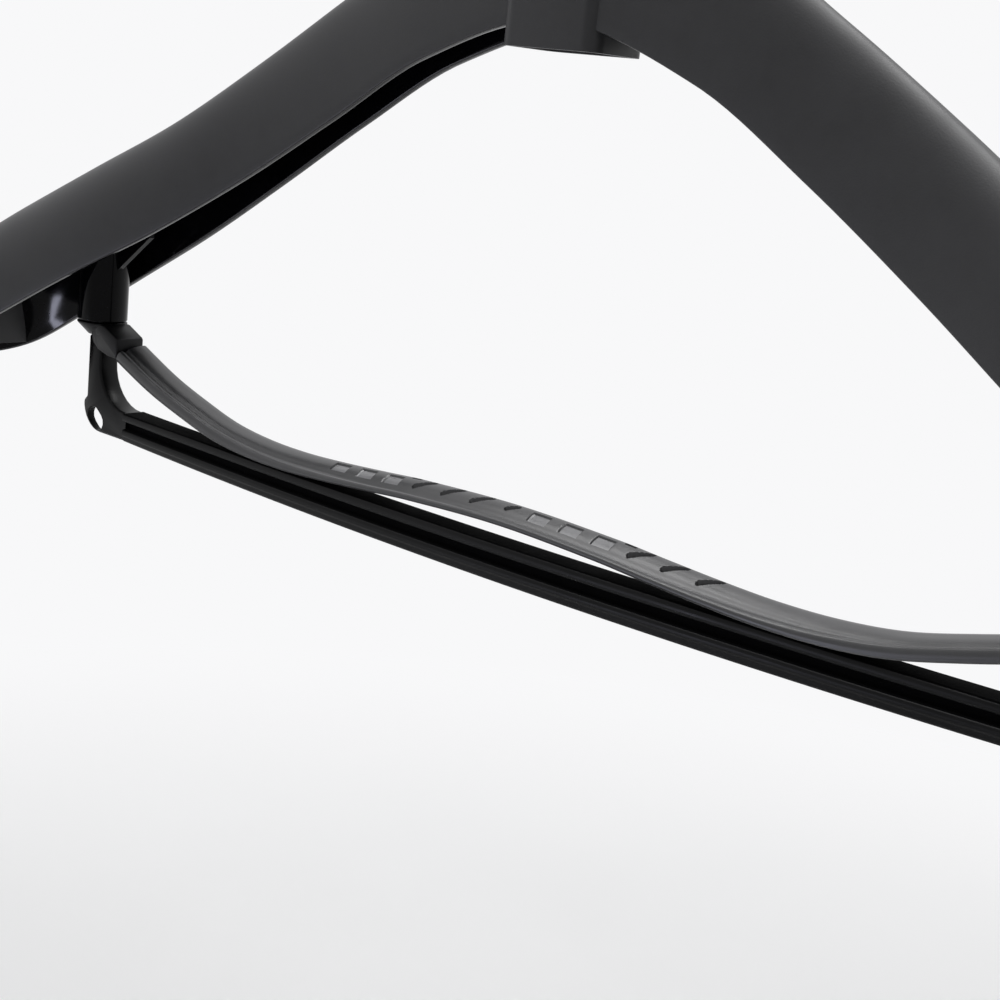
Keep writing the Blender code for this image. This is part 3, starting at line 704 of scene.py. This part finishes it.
def lower_bar():
    """The ribbed bar between the two drop arms."""
    shape = bmesh.new()
    front = [(-wide, down) for wide, down in bar_section_shares]
    back = [(-wide, down) for wide, down in reversed(front)]
    outline = [(0.0, wide * bar_depth / 2, down * bar_thickness) for wide, down in front + back]
    shape.faces.new([shape.verts.new(point) for point in outline])
    rounded(shape, list(shape.verts), bar_rounding, segments=3, affect="VERTICES")
    draw_along(shape, bar_steps, 2 * bar_straight / bar_steps)
    for vert in shape.verts:
        x = vert.co.x - bar_straight
        down_share = vert.co.z / bar_thickness
        outwards = (x / bar_straight) ** 2
        top, bottom = bar_top_rise * outwards, bar_belly_rise * outwards - bar_thickness
        vert.co = (x, bar_plane + vert.co.y, raised(top + (bottom - top) * down_share))
    shape.normal_update()
    # Level faces and the groove take the grained finish, whose darker tone is painted shade
    for face in shape.faces:
        level = abs(face.normal.z) > level_from
        aside = abs(face.calc_center_median().y - bar_plane)
        in_groove = aside < groove_share * bar_depth / 2
        if (level or in_groove) and abs(face.normal.x) < end_from:
            face.material_index = 1
    return shape


finish_piece("lower_bar", lower_bar(), *on_bar, [bar_polystyrene, grained_polystyrene_painted_shade])

# %% [markdown]
# ## Drop arms and press bar ends
# The drop arms with their elbows and stubs, and the thick ends of the press bar, already
# have their true shape in the frame and lack only soft edges. So a copy of the solid's
# mesh is merged, its flat triangles are joined back into whole faces, and its edges are
# bevelled. Modelling them again would only repeat the same outline.

# %% Softened copies of solids
edge_rounding = 0.12 * mm
flat_fold = math.radians(1.0)
sharp_fold = math.radians(30)
overlap = 0.4 * mm


def softened_copy(node, low_x=None, high_x=None):
    """A merged copy of a solid between two places along X, with its sharp edges rounded."""
    shape = bmesh.new()
    shape.from_mesh(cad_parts[node].data)
    bmesh.ops.remove_doubles(shape, verts=shape.verts, dist=weld)
    for face in shape.faces:
        face.material_index = 0
    for place_x, outward in ((low_x, -1), (high_x, 1)):
        if place_x is not None:
            cut_off(shape, (place_x, 0, 0), (outward, 0, 0))
    bmesh.ops.dissolve_limit(
        shape, angle_limit=flat_fold, verts=shape.verts, edges=shape.edges,
        use_dissolve_boundaries=False,
    )
    rounded(shape, folds(shape, sharp_fold), edge_rounding, segments=2, clamp=True)
    return shape


for side, word in sides:
    low_x = bar_straight - overlap if side > 0 else None
    high_x = None if side > 0 else overlap - bar_straight
    arm = softened_copy("trouser_bar", low_x, high_x)
    finish_piece(f"drop_arm_{word}", arm, *on_bar, [bar_polystyrene], turn_out=False)
press_ends = softened_copy("press_bar")
finish_piece("press_strip_and_ends", press_ends, *on_gate, [waxy_nylon], turn_out=False)

# %% [markdown]
# ## Grip of the press bar
# The soft grip is moulded round a nylon strip. Its section has a bead along the front, a
# valley and a rounded crown, and it follows a shallow wave, to press the cloth at several
# places. Towards the ends the jacket gets thicker and its bead taller, so there are two
# sections, and a table says how far one has turned into the other. A closed curve through
# a section's points gives a ring, and the sideways spin draws it along. The tread on the
# crown is pressed in by moving points down, because a Boolean would cut harder edges than
# a rubber mould gives. The pocket floors get a paler rubber: a painted highlight.

# %% Wave of the press bar
grip_reach = 149.3 * mm
grip_depth = 9.0 * mm
grip_thickness = 3.6 * mm
press_rise = 23.5 * mm
slope_step = 2.0 * mm
press_wave_shares = (
    (0.000, 0.204), (0.183, 0.162), (0.275, 0.115), (0.367, 0.072), (0.458, 0.047),
    (0.550, 0.064), (0.642, 0.140), (0.733, 0.298), (0.819, 0.481), (0.914, 0.749),
    (1.000, 1.000),
)


def wave(x):
    """Height of the press bar's underside."""
    return press_rise * eased(press_wave_shares, abs(x) / post_reach)[0]


def wave_frame(x):
    """A frame on the wave's underside that leans with its slope."""
    lean = math.atan2(wave(x + slope_step) - wave(x - slope_step), 2 * slope_step)
    return Matrix.Translation((x, bar_plane, raised(wave(x)))) @ Matrix.Rotation(-lean, 4, "Y")


print("wave at the middle in mm:", round(wave(0.0) / mm, 2))

# %% Sections of the grip
grip_middle_shares = (
    (-0.84, 0.00), (-0.97, 0.05), (-1.00, 0.16), (-0.97, 0.27), (-0.88, 0.34),
    (-0.76, 0.34), (-0.64, 0.29), (-0.52, 0.30), (-0.36, 0.42), (-0.16, 0.62),
    (0.08, 0.81), (0.34, 0.94), (0.62, 1.00), (0.86, 0.95), (1.00, 0.60), (0.92, 0.00),
)
grip_end_shares = (
    (-0.88, 0.00), (-0.98, 0.10), (-1.00, 0.28), (-0.97, 0.46), (-0.89, 0.60),
    (-0.78, 0.66), (-0.66, 0.62), (-0.55, 0.56), (-0.44, 0.62), (-0.30, 0.76),
    (-0.06, 0.87), (0.26, 0.95), (0.58, 1.00), (0.86, 0.94), (1.00, 0.60), (0.92, 0.00),
)
# Place, share of the end section, and growth in thickness and depth
grip_growth = (
    (0.00, 0.0, 1.10, 1.00),
    (0.30, 0.0, 1.17, 1.00),
    (0.52, 0.5, 1.21, 1.02),
    (0.72, 1.0, 1.23, 1.06),
    (1.00, 1.0, 1.28, 1.12),
)
growth_pivot = 0.35
print("points in a grip section:", len(grip_middle_shares))

# %% Tread marks
tread_pitch = 9.64 * mm
tread_depth = 0.45 * mm
slot_depth = 1.2 * mm
short_slot_share = 0.62
mark_softness = 0.18 * mm
mark_reach = 5.0 * mm
floor_from = 0.6
# Shift along X, place across, turn in degrees, length and width in mm, round ends, depth
pocket = (-0.5, 0.6, 0.0, 5.6, 3.0, False, tread_depth)
slot = (0.2, 1.25, 32.0, 6.6, 1.5, True, slot_depth)
short_slot = (0.2, 1.25, 32.0, 6.6 * short_slot_share, 1.5, True, slot_depth)
nick = (-4.0, 2.9, 0.0, 3.4, 0.8, True, slot_depth)
marks_of = {"p": [pocket], "s": [slot], "a": [short_slot], "b": [slot, nick]}
tread_marks = "pppbssapppbss"


def inside_share(along, across, length, width, round_ends):
    """How far inside a mark a point lies: 0 outside, 1 well inside, soft at the edge."""
    if round_ends:
        beyond = max(abs(along) - (length - width) / 2, 0.0)
        depth = width / 2 - math.hypot(beyond, across)
    else:
        depth = min(length / 2 - abs(along), width / 2 - abs(across))
    share = min(max(depth / mark_softness, 0.0), 1.0)
    return share * share * (3 - 2 * share)


def tread_list():
    """Every mark, with its place along X in front of the rest of its sizes."""
    marks = []
    middle = (len(tread_marks) - 1) / 2
    for number, letter in enumerate(tread_marks):
        for shift, *sizes in marks_of[letter]:
            marks.append((tread_pitch * (number - middle) + shift * mm, *sizes))
    return marks


def pressed(x, y, marks):
    """How deep the crown is pressed in at a place, and whether that is in a pocket."""
    deepest, on_floor = 0.0, False
    for mark_x, mark_y, turn, length, width, round_ends, depth in marks:
        if abs(x - mark_x) > mark_reach:
            continue
        angle = math.radians(turn)
        dx, dy = x - mark_x, y - mark_y * mm
        along = dx * math.cos(angle) + dy * math.sin(angle)
        across = dy * math.cos(angle) - dx * math.sin(angle)
        share = inside_share(along, across, length * mm, width * mm, round_ends)
        on_floor = on_floor or (share > floor_from and not round_ends)
        deepest = max(deepest, depth * share)
    return deepest, on_floor


print("tread marks:", len(tread_list()))

# %% Rings of the grip
section_points = 112
points_between = 4
coarse_step = 1.5 * mm
fine_step = 0.24 * mm
tread_reach = 66.0 * mm


def closed_curve(points, count):
    """Evenly spread points on a smooth closed curve through a few points."""
    total = len(points)
    curve = []
    for step in range(count * points_between):
        place = step / (count * points_between) * total
        index = int(place)
        t = place - index
        p0, p1, p2, p3 = (Vector(points[(index + shift) % total]) for shift in (-1, 0, 1, 2))
        square = (2 * p0 - 5 * p1 + 4 * p2 - p3) * t * t
        cube = (3 * p1 - p0 - 3 * p2 + p3) * t**3
        curve.append(0.5 * (2 * p1 + (p2 - p0) * t + square + cube))
    lengths = [0.0]
    for a, b in zip(curve, curve[1:] + curve[:1]):
        lengths.append(lengths[-1] + (b - a).length)
    spread = []
    index = 0
    for step in range(count):
        goal = lengths[-1] * step / count
        while lengths[index + 1] < goal:
            index += 1
        t = (goal - lengths[index]) / (lengths[index + 1] - lengths[index])
        spread.append(curve[index].lerp(curve[(index + 1) % len(curve)], t))
    return spread


def grip_ring(shares):
    """The ring of a section that is given in shares of the grip's depth and thickness."""
    points = [(y * grip_depth / 2, z * grip_thickness) for y, z in shares]
    return closed_curve(points, section_points)


def grip_stations():
    """Places along X, close together under the tread."""
    places = []
    x = -grip_reach
    while x < grip_reach - weld:
        places.append(x)
        x += fine_step if abs(x) < tread_reach else coarse_step
    return places + [grip_reach]


print("rings along the grip:", len(grip_stations()))

# %% Soft grip
crown_from = 0.45 * grip_thickness


def soft_grip():
    """The jacket of the press bar with its tread."""
    shape = bmesh.new()
    middle_ring, end_ring = grip_ring(grip_middle_shares), grip_ring(grip_end_shares)
    corner_number = shape.verts.layers.int.new("corner")
    verts = [shape.verts.new((0.0, point.x, point.y)) for point in middle_ring]
    for number, vert in enumerate(verts):
        vert[corner_number] = number
    shape.faces.new(verts)
    stations = grip_stations()
    draw_along(shape, len(stations) - 1, mm)
    frames = [wave_frame(x) for x in stations]
    growths = [eased(grip_growth, abs(x) / grip_reach) for x in stations]
    marks = tread_list()
    pivot = growth_pivot * grip_thickness
    in_pocket = set()
    for vert in shape.verts:
        number = round(vert.co.x / mm)
        x = stations[number]
        end_share, thicker, deeper = growths[number]
        corner = vert[corner_number]
        y, z = middle_ring[corner].lerp(end_ring[corner], end_share)
        if z > crown_from and abs(x) < tread_reach:
            depth, on_floor = pressed(x, y, marks)
            z -= depth
            if on_floor:
                in_pocket.add(vert)
        vert.co = frames[number] @ Vector((0.0, y * deeper, pivot + (z - pivot) * thicker))
    # Pocket floors take the paler rubber: a painted highlight where the floors face the light
    for face in shape.faces:
        if in_pocket.issuperset(face.verts):
            face.material_index = 1
    return shape


rubbers = [soft_rubber, painted_highlight_rubber]
finish_piece("soft_grip", soft_grip(), "gate", "press_bar_grip", "soft_grip", rubbers)

# %% [markdown]
# ## Hook and fittings
# The hook is round wire bent along a path. A curve with a bevel would do, but rings that
# are turned to follow the path and bridged give clean quads and a rounded tip. The collar,
# the washer and the nut are turned parts, so their profiles are spun.

# %% Wire path
wire_radius = 2.0 * mm
hook_radius = 23.0 * mm
stem_length = 29.0 * mm
stem_bend_radius = 14.0 * mm
hook_mouth_turn = math.radians(232)
hook_start_turn = math.radians(-52)
tip_flare_radius = 12.0 * mm
tip_flare_turn = math.radians(38)
wire_end = raised(140.3 * mm)
bow_steps, gooseneck_steps, flare_steps = 72, 20, 16


def towards(angle):
    """The direction at an angle."""
    return Vector((math.cos(angle), math.sin(angle)))


def wire_path():
    """The middle line of the wire in X and Z: end, stem, gooseneck, bow and tip."""
    center = Vector((0.0, raised(neck_top + stem_length + hook_radius)))
    bow = arc(center, hook_radius, hook_start_turn, hook_mouth_turn, bow_steps)
    entry = towards(hook_start_turn)
    along = Vector((-entry.y, entry.x))
    stem_top = Vector((0.0, bow[0].y - bow[0].x - stem_bend_radius / 2))
    reach = (bow[0] - stem_top).length
    upwards = Vector((0.0, reach))
    shares = [step / gooseneck_steps for step in range(1, gooseneck_steps)]
    gooseneck = [glide(stem_top, upwards, bow[0], along * reach, t) for t in shares]
    last = hook_start_turn + hook_mouth_turn
    flare_center = center + towards(last) * (hook_radius + tip_flare_radius)
    flare = arc(flare_center, tip_flare_radius, last + math.pi, -tip_flare_turn, flare_steps)
    return [Vector((0.0, wire_end)), stem_top] + gooseneck + bow + flare[1:]


print("points on the wire:", len(wire_path()))

# %% Wire hook
wire_around = 32
tip_rings = 8


def wire_ring(shape, rings, number):
    """Adds one ring of the wire, square to its path, and returns its edges."""
    point, radius = rings[number]
    before, after = rings[max(number - 1, 0)][0], rings[min(number + 1, len(rings) - 1)][0]
    way = (after - before).normalized()
    facing = Vector((way.x, 0.0, way.y)).to_track_quat("Z", "Y").to_matrix().to_4x4()
    place = Matrix.Translation((point.x, 0.0, point.y)) @ facing
    verts = bmesh.ops.create_circle(
        shape, segments=wire_around, radius=max(radius, weld * 2), matrix=place
    )["verts"]
    return sorted({edge for vert in verts for edge in vert.link_edges}, key=lambda edge: edge.index)


def wire_hook():
    """The bent wire with a rounded tip and a flat lower end."""
    path = wire_path()
    ahead = (path[-1] - path[-2]).normalized()
    rings = [(point, wire_radius) for point in path]
    for step in range(1, tip_rings + 1):
        turn = math.pi / 2 * step / tip_rings
        point = path[-1] + ahead * wire_radius * math.sin(turn)
        rings.append((point, wire_radius * math.cos(turn)))
    shape = bmesh.new()
    loops = [wire_ring(shape, rings, number) for number in range(len(rings))]
    bridge(shape, loops)
    for end in (loops[0], loops[-1]):
        bmesh.ops.contextual_create(shape, geom=end)
    return shape


finish_piece("wire_hook", wire_hook(), "hook", "swivel_hook", "chrome_wire", [chrome_plate])

# %% Collar
fit_gap = 0.3 * mm
wire_bore = wire_radius + fit_gap
collar_radius = 6.4 * mm
collar_height = 4.6 * mm
spigot_radius = 4.5 * mm
spigot_end = raised(neck_top) - 3.0 * mm
collar_seat = raised(neck_top) + fit_gap
collar_top = collar_seat + collar_height
foot_rounding = 0.4 * mm
brow_rounding = 1.2 * mm
bore_rounding = 0.3 * mm

profile = [(wire_bore, spigot_end), (spigot_radius, spigot_end), (spigot_radius, collar_seat)]
profile += quarter(collar_radius - foot_rounding, collar_seat + foot_rounding, foot_rounding, -90)
profile += quarter(collar_radius - brow_rounding, collar_top - brow_rounding, brow_rounding, 0)
profile += quarter(wire_bore + bore_rounding, collar_top - bore_rounding, bore_rounding, 90)
collar = spun(profile + profile[:1])
finish_piece("collar_ring", collar, "frame", "neck_collar", "chrome_trim", [chrome_plate])

# %% Washer and nut
washer_top = raised(neck_top - neck_web) - fit_gap
washer_low = washer_top - 0.8 * mm
washer_edge = 0.2 * mm
washer_rim = 4.6 * mm - washer_edge
nut_top = washer_low - fit_gap
nut_low = nut_top - 3.2 * mm
nut_corner = 7.0 * mm / math.sqrt(3)
chamfer_in, chamfer_up = 0.5 * mm, 0.4 * mm

profile = [(wire_bore, washer_low)]
profile += quarter(washer_rim, washer_low + washer_edge, washer_edge, -90)
profile += quarter(washer_rim, washer_top - washer_edge, washer_edge, 0)
profile += [(wire_bore, washer_top)]
washer = spun(profile + profile[:1])
finish_piece("flat_washer", washer, "frame", "hook_washer", "zinc_steel", [zinc_plate])

profile = [
    (wire_bore, nut_low),
    (nut_corner - chamfer_in, nut_low),
    (nut_corner, nut_low + chamfer_up),
    (nut_corner, nut_top - chamfer_up),
    (nut_corner - chamfer_in, nut_top),
    (wire_bore, nut_top),
]
nut = spun(profile + profile[:1], steps=6)
finish_piece("hexagon_nut", nut, "hook", "hook_nut", "zinc_steel", [zinc_plate])

# %% [markdown]
# ## Floor and backdrop
# The floor curves up into the backdrop, as a paper sweep in a studio does, so no line
# shows behind the hanger. It is an edge drawn along a curved profile, and both are pale
# paper with a faint mottling that takes the hanger's soft shadow. Further away the paper
# melts into the brightness of the room around it, for the camera and for reflections
# alone, so it adds no light and has no visible edge.

# %% Paper sweep
heading = math.radians(40.06176)
floor_level = -0.85
sweep_half_width = 6.0
sweep_front, sweep_back = -2.6, 2.6
sweep_curve = 0.9
sweep_top = 3.5
curve_steps = 15


def paper_sweep():
    """The floor, the curve and the wall behind as one sheet."""
    shape = bmesh.new()
    ends = [(x, sweep_front, floor_level) for x in (-sweep_half_width, sweep_half_width)]
    edges = [shape.edges.new([shape.verts.new(end) for end in ends])]
    center = (sweep_back - sweep_curve, floor_level + sweep_curve)
    profile = arc(center, sweep_curve, -math.pi / 2, math.pi / 2, curve_steps)
    here = (sweep_front, floor_level)
    for y, z in profile + [(sweep_back, sweep_top)]:
        pushed = bmesh.ops.extrude_edge_only(shape, edges=edges)["geom"]
        edges = [item for item in pushed if isinstance(item, bmesh.types.BMEdge)]
        step_on = (0, y - here[0], z - here[1])
        bmesh.ops.translate(shape, verts=corners_in(pushed), vec=step_on)
        here = (y, z)
    return shape


print("floor level in mm:", floor_level / mm)

# %% How bright the room looks
backwards = (-math.sin(heading), math.cos(heading), 0.0)
room_tint = "#f8f8f9"
room_front, room_back = 0.55, 1.00
turning = (-0.6, 0.2)


def room_level(tree, way):
    """How bright the room looks along a direction: palest behind the hanger."""
    away = add_node(tree, "ShaderNodeVectorMath", {"operation": "DOT_PRODUCT"}, {0: way})
    away.inputs[1].default_value = backwards
    return mapped(tree, away.outputs["Value"], turning, (room_front, room_back))


def seen_rays(tree):
    """One for the rays of the camera, of reflections and of glass, otherwise zero."""
    ray = add_node(tree, "ShaderNodeLightPath", {}, {})
    seen = ray.outputs["Is Camera Ray"]
    for kind in ("Is Glossy Ray", "Is Transmission Ray"):
        either = {0: seen, 1: ray.outputs[kind]}
        seen = add_node(tree, "ShaderNodeMath", {"operation": "MAXIMUM"}, either).outputs[0]
    return seen


print("room level in front and behind:", room_front, room_back)

# %% Paper
melt_range = (0.95, 1.9)
paper, tree, shader = new_material("matt backdrop paper")
shader.inputs["Roughness"].default_value = 0.9
shader.inputs["Specular IOR Level"].default_value = 0.1
place = add_node(tree, "ShaderNodeTexCoord", {}, {}).outputs["Object"]
mottling = add_node(tree, "ShaderNodeTexNoise", {"Scale": 3.0}, {"Vector": place})
tone = tone_between(tree, mottling.outputs["Fac"], "#f3f3f3", "#f7f7f7")
tree.links.new(tone, shader.inputs["Base Color"])
distance = add_node(tree, "ShaderNodeVectorMath", {"operation": "LENGTH"}, {0: place})
melted = mapped(tree, distance.outputs["Value"], melt_range, (0.0, 1.0), "SMOOTHSTEP")
both = {0: melted, 1: seen_rays(tree)}
share = add_node(tree, "ShaderNodeMath", {"operation": "MULTIPLY"}, both).outputs[0]
way = add_node(tree, "ShaderNodeVectorMath", {"operation": "NORMALIZE"}, {0: place})
level = room_level(tree, way.outputs["Vector"])
glow = add_node(tree, "ShaderNodeEmission", {"Color": linear(room_tint)}, {"Strength": level})
parts = {0: share, 1: shader.outputs["BSDF"], 2: glow.outputs["Emission"]}
blend = add_node(tree, "ShaderNodeMixShader", {}, parts)
tree.links.new(blend.outputs["Shader"], tree.nodes["Material Output"].inputs["Surface"])
print("paper melts into the room between", melt_range, "m")

# %% Lay the paper
sheet = paper_sweep()
bmesh.ops.recalc_face_normals(sheet, faces=sheet.faces)
bmesh.ops.transform(sheet, matrix=Matrix.Rotation(heading, 4, "Z"), verts=sheet.verts)
sweep = add_mesh("paper_sweep", sheet, [paper])

# %% [markdown]
# ## Light
# One wide softbox hangs over the hanger and a little behind it, so tops are bright and
# faces towards the camera fall off into grey. A narrow lamp low in front puts the bluish
# streak into the polished inside of the left shoulder, and a third lamp washes the
# backdrop. Black plastic shows whatever it is turned to, so the world has two parts: a
# faint fill lights everything from all round, and a room is only seen, by the camera and
# in reflections. The room is white behind the hanger and pale grey in front of it, which
# gives the ribs of the bars their light and dark lines without another lamp.

# %% Lamps
def softbox(name, size, place, aim, watts, colour="#ffffff"):
    """A rectangular area lamp that faces a point."""
    lamp = bpy.data.lights.new(name, "AREA")
    lamp.shape = "RECTANGLE"
    lamp.size, lamp.size_y = size
    lamp.energy = watts
    lamp.color = linear(colour)[:3]
    holder = add_object(name, lamp)
    holder.location = place
    holder.rotation_euler = (Vector(aim) - Vector(place)).to_track_quat("-Z", "Y").to_euler()


softbox("overhead_softbox", (1.6, 1.0), (-0.1, 0.1, 1.1), aim=(0.0, 0.0, -0.15), watts=27.0)
softbox(
    "front_window", (0.035, 0.24), (-0.475, -0.86, -0.62), aim=(-0.193, 0.0, -0.2),
    watts=0.75, colour="#e6e8ff",
)
softbox(
    "backdrop_wash", (3.0, 0.8), (-0.874, 0.572, 0.9), aim=(-1.903, 1.797, 0.1), watts=18.0
)
print("lamps:", len(bpy.data.lights))

# %% World
fill_strength = 0.10
world = bpy.data.worlds.new("studio")
bpy.context.scene.world = world
world.use_nodes = True
sky = world.node_tree
fill = sky.nodes["Background"]
fill.inputs["Color"].default_value = linear("#f4f6fa")
fill.inputs["Strength"].default_value = fill_strength
way = add_node(sky, "ShaderNodeTexCoord", {}, {}).outputs["Generated"]
settings, links = {"Color": linear(room_tint)}, {"Strength": room_level(sky, way)}
room = add_node(sky, "ShaderNodeBackground", settings, links)
parts = {0: seen_rays(sky), 1: fill.outputs["Background"], 2: room.outputs["Background"]}
blend = add_node(sky, "ShaderNodeMixShader", {}, parts)
sky.links.new(blend.outputs["Shader"], sky.nodes["World Output"].inputs["Surface"])
bpy.context.scene.view_settings.view_transform = "Standard"
print("fill strength:", fill_strength)

# %% [markdown]
# ## Camera
# The photograph was taken from near the right end, a little above the trouser bar and
# close to the hanger, with a rolled camera. The place, the direction and the focal length
# were worked out by laying the part's edges over the photograph's. Heading, pitch and roll
# are turned into the camera's own right, up and back directions, which give the rotation
# without guessing at an order of angles.

# %% Camera
pitch = math.radians(13.44524)
roll = math.radians(6.12727)
camera_place = (0.252578, -0.308432, -0.123117)
focal_length = 61.297

level = Vector((math.cos(heading), math.sin(heading), 0.0))
flat = math.cos(pitch)
ahead = Vector((-math.sin(heading) * flat, math.cos(heading) * flat, -math.sin(pitch)))
upward = level.cross(ahead)
right = level * math.cos(roll) + upward * math.sin(roll)
up = upward * math.cos(roll) - level * math.sin(roll)
turned = Matrix((right, up, -ahead)).transposed().to_4x4()

view = bpy.data.cameras.new("photograph view")
view.sensor_width = 36.0
view.lens = focal_length
view.clip_start = 0.01
camera = add_object("camera", view)
camera.matrix_world = Matrix.Translation(camera_place) @ turned
bpy.context.scene.camera = camera
print("camera at:", camera_place)
